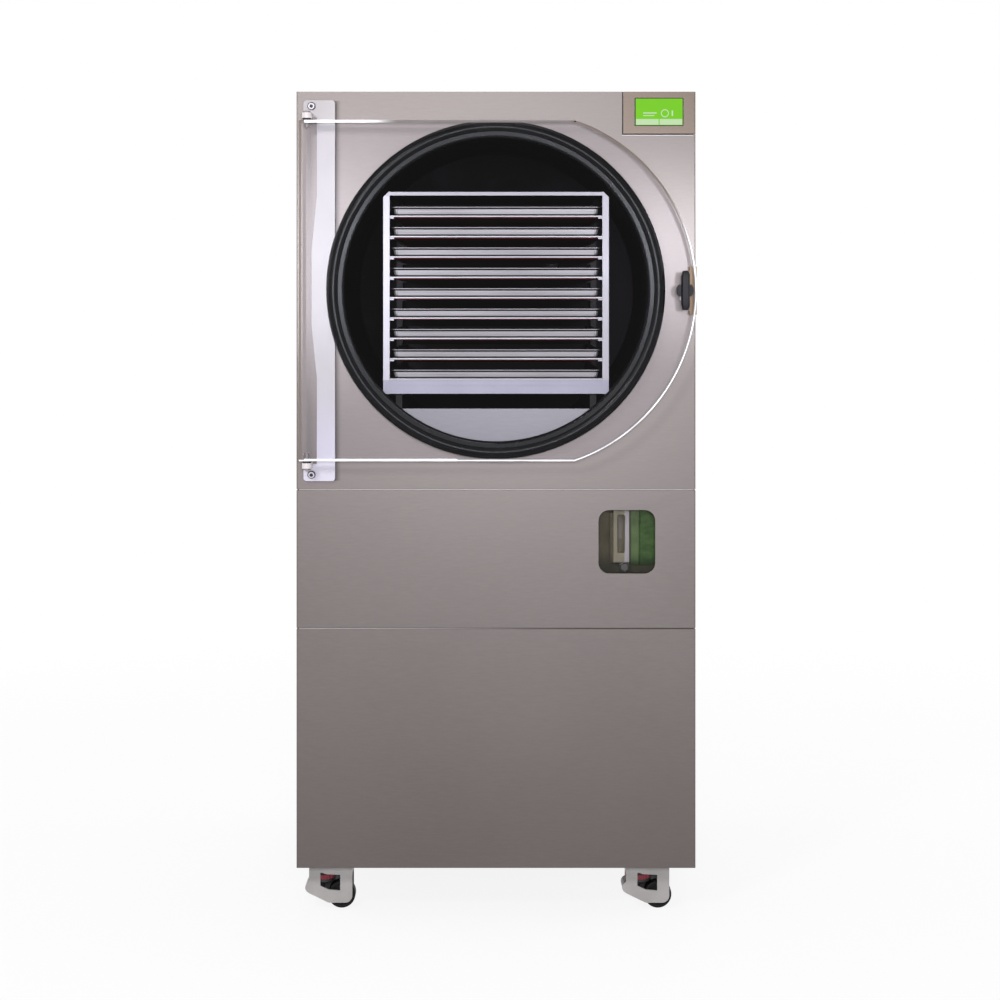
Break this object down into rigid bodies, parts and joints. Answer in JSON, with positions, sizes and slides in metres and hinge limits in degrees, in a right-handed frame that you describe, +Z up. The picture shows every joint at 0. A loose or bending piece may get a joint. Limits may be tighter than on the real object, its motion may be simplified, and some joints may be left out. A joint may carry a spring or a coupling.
{
  "type": "freeze dryer",
  "caption": "Floor-standing freeze dryer: steel cabinet on levelling casters, round vacuum chamber with a rack of trays behind a clear side-hung door.",
  "frame": {"origin": "on the floor under the middle of the machine", "axes": "+Z up, the front with the door faces -Y, +X to the right seen from the front"},
  "size_m": [0.75, 0.95, 1.549],
  "materials": {
    "front_steel": "fine vertical brushing, satin",
    "side_steel": "fine vertical brushing, satin",
    "control_plate": "fine brushing, satin",
    "frame_paint": "grey powder coat",
    "clear_door": "clear cast acrylic with polished edges",
    "clear_pane": "clear sheet",
    "screen": "lit touch screen with a plain green field",
    "seal_rubber": "smooth moulded rubber",
    "chamber_dark": "dark lining, semi-gloss",
    "foam": "closed-cell foam jacket",
    "dam_steel": "satin",
    "rack_steel": "bright satin",
    "tray_steel": "bright satin with drawn sides",
    "black_paint": "gloss black enamel",
    "copper": "drawn copper",
    "black_plastic": "fine moulded grain",
    "pump_paint": "grey-green hammer enamel",
    "box_paint": "light grey powder coat",
    "brass": "turned brass",
    "lever_red": "dipped vinyl",
    "hinge_white": "off-white enamel",
    "pin_steel": "turned stainless",
    "strike_metal": "warm satin",
    "handle_black": "moulded, fine grain",
    "caster_white": "cast aluminium with white enamel",
    "wheel_black": "hard nylon tyre",
    "nut_red": "moulded red plastic",
    "foot_rubber": "rubber pad on a plated screw"
  },
  "bodies": {
    "cabinet": {"base_pan": "frame_paint", "frame": "frame_paint", "left_side_panel": "side_steel", "right_side_panel": "side_steel", "back_panel": "side_steel", "top_panel": "side_steel", "upper_front_panel": "front_steel", "middle_front_panel": "front_steel", "lower_front_panel": "front_steel", "window_pane": "clear_pane", "control_panel": "control_plate", "display": "screen", "screws": "pin_steel", "chamber_vessel": "chamber_dark", "chamber_insulation": "foam", "mouth_seal": "seal_rubber", "drip_dam": "dam_steel", "rack_frame": "rack_steel", "rack_shelves": "rack_steel", "tray_1": "tray_steel", "tray_2": "tray_steel", "tray_3": "tray_steel", "tray_4": "tray_steel", "tray_5": "tray_steel", "tray_6": "tray_steel", "tray_7": "tray_steel", "tray_8": "tray_steel", "tray_9": "tray_steel", "compressor": "black_paint", "condenser": "copper", "fan_frame": "black_plastic", "vacuum_pump": "pump_paint", "vacuum_hose": "copper", "electronics_box": "box_paint", "drain_valve": "brass", "hinge_plate": "hinge_white", "hinge_pins": "pin_steel", "latch_keeper": "strike_metal"},
    "door": {"door": "clear_door"},
    "latch": {"latch_handle": "handle_black", "latch_tongue": "pin_steel"},
    "fan": {"fan_blade": "black_plastic"},
    "switch": {"power_switch": "black_plastic"},
    "drain_lever": {"drain_lever": "lever_red"},
    "caster_front_left": {"caster_body_front_left": "caster_white"},
    "wheel_front_left": {"caster_wheel_front_left": "wheel_black"},
    "thumbwheel_front_left": {"caster_thumbwheel_front_left": "nut_red"},
    "foot_front_left": {"caster_foot_front_left": "foot_rubber"},
    "caster_front_right": {"caster_body_front_right": "caster_white"},
    "wheel_front_right": {"caster_wheel_front_right": "wheel_black"},
    "thumbwheel_front_right": {"caster_thumbwheel_front_right": "nut_red"},
    "foot_front_right": {"caster_foot_front_right": "foot_rubber"},
    "caster_rear_left": {"caster_body_rear_left": "caster_white"},
    "wheel_rear_left": {"caster_wheel_rear_left": "wheel_black"},
    "thumbwheel_rear_left": {"caster_thumbwheel_rear_left": "nut_red"},
    "foot_rear_left": {"caster_foot_rear_left": "foot_rubber"},
    "caster_rear_right": {"caster_body_rear_right": "caster_white"},
    "wheel_rear_right": {"caster_wheel_rear_right": "wheel_black"},
    "thumbwheel_rear_right": {"caster_thumbwheel_rear_right": "nut_red"},
    "foot_rear_right": {"caster_foot_rear_right": "foot_rubber"}
  },
  "joints": [
    {"name": "door_swing", "type": "hinge", "parent": "cabinet", "child": "door", "pos_m": [-0.352, -0.4299, 1.175], "axis": [0, 0, -1], "range_deg": [0, 170]},
    {"name": "latch_turn", "type": "hinge", "parent": "door", "child": "latch", "pos_m": [0.35, -0.4299, 1.175], "axis": [0, -1, 0], "range_deg": [0, 90]},
    {"name": "fan_spin", "type": "hinge", "parent": "cabinet", "child": "fan", "pos_m": [0.05, 0.405, 0.282], "axis": [0, 1, 0], "continuous": true},
    {"name": "power_rock", "type": "hinge", "parent": "cabinet", "child": "switch", "pos_m": [-0.253, 0.433, 0.712], "axis": [1, 0, 0], "range_deg": [0, 14]},
    {"name": "drain_turn", "type": "hinge", "parent": "cabinet", "child": "drain_lever", "pos_m": [0, 0.4522, 0.922], "axis": [0, 0, 1], "range_deg": [0, 90]},
    {"name": "swivel_front_left", "type": "hinge", "parent": "cabinet", "child": "caster_front_left", "pos_m": [-0.301, -0.311, 0.085], "axis": [0, 0, 1], "continuous": true},
    {"name": "roll_front_left", "type": "hinge", "parent": "caster_front_left", "child": "wheel_front_left", "pos_m": [-0.294, -0.311, 0.026], "axis": [0, 1, 0], "continuous": true},
    {"name": "level_front_left", "type": "hinge", "parent": "caster_front_left", "child": "thumbwheel_front_left", "pos_m": [-0.332, -0.311, 0.058], "axis": [0, 0, 1], "range_deg": [0, 2340]},
    {"name": "foot_travel_front_left", "type": "slide", "parent": "caster_front_left", "child": "foot_front_left", "axis": [0, 0, -1], "range_m": [0, 0.0261]},
    {"name": "swivel_front_right", "type": "hinge", "parent": "cabinet", "child": "caster_front_right", "pos_m": [0.301, -0.311, 0.085], "axis": [0, 0, 1], "continuous": true},
    {"name": "roll_front_right", "type": "hinge", "parent": "caster_front_right", "child": "wheel_front_right", "pos_m": [0.308, -0.311, 0.026], "axis": [0, 1, 0], "continuous": true},
    {"name": "level_front_right", "type": "hinge", "parent": "caster_front_right", "child": "thumbwheel_front_right", "pos_m": [0.27, -0.311, 0.058], "axis": [0, 0, 1], "range_deg": [0, 2340]},
    {"name": "foot_travel_front_right", "type": "slide", "parent": "caster_front_right", "child": "foot_front_right", "axis": [0, 0, -1], "range_m": [0, 0.0261]},
    {"name": "swivel_rear_left", "type": "hinge", "parent": "cabinet", "child": "caster_rear_left", "pos_m": [-0.301, 0.401, 0.085], "axis": [0, 0, 1], "continuous": true},
    {"name": "roll_rear_left", "type": "hinge", "parent": "caster_rear_left", "child": "wheel_rear_left", "pos_m": [-0.294, 0.401, 0.026], "axis": [0, 1, 0], "continuous": true},
    {"name": "level_rear_left", "type": "hinge", "parent": "caster_rear_left", "child": "thumbwheel_rear_left", "pos_m": [-0.332, 0.401, 0.058], "axis": [0, 0, 1], "range_deg": [0, 2340]},
    {"name": "foot_travel_rear_left", "type": "slide", "parent": "caster_rear_left", "child": "foot_rear_left", "axis": [0, 0, -1], "range_m": [0, 0.0261]},
    {"name": "swivel_rear_right", "type": "hinge", "parent": "cabinet", "child": "caster_rear_right", "pos_m": [0.301, 0.401, 0.085], "axis": [0, 0, 1], "continuous": true},
    {"name": "roll_rear_right", "type": "hinge", "parent": "caster_rear_right", "child": "wheel_rear_right", "pos_m": [0.308, 0.401, 0.026], "axis": [0, 1, 0], "continuous": true},
    {"name": "level_rear_right", "type": "hinge", "parent": "caster_rear_right", "child": "thumbwheel_rear_right", "pos_m": [0.27, 0.401, 0.058], "axis": [0, 0, 1], "range_deg": [0, 2340]},
    {"name": "foot_travel_rear_right", "type": "slide", "parent": "caster_rear_right", "child": "foot_rear_right", "axis": [0, 0, -1], "range_m": [0, 0.0261]}
  ],
  "couplings": [
    {"joint": "foot_travel_front_left", "follows": "level_front_left", "m_per_rad": 0.00063662},
    {"joint": "foot_travel_front_right", "follows": "level_front_right", "m_per_rad": 0.00063662},
    {"joint": "foot_travel_rear_left", "follows": "level_rear_left", "m_per_rad": 0.00063662},
    {"joint": "foot_travel_rear_right", "follows": "level_rear_right", "m_per_rad": 0.00063662}
  ]
}
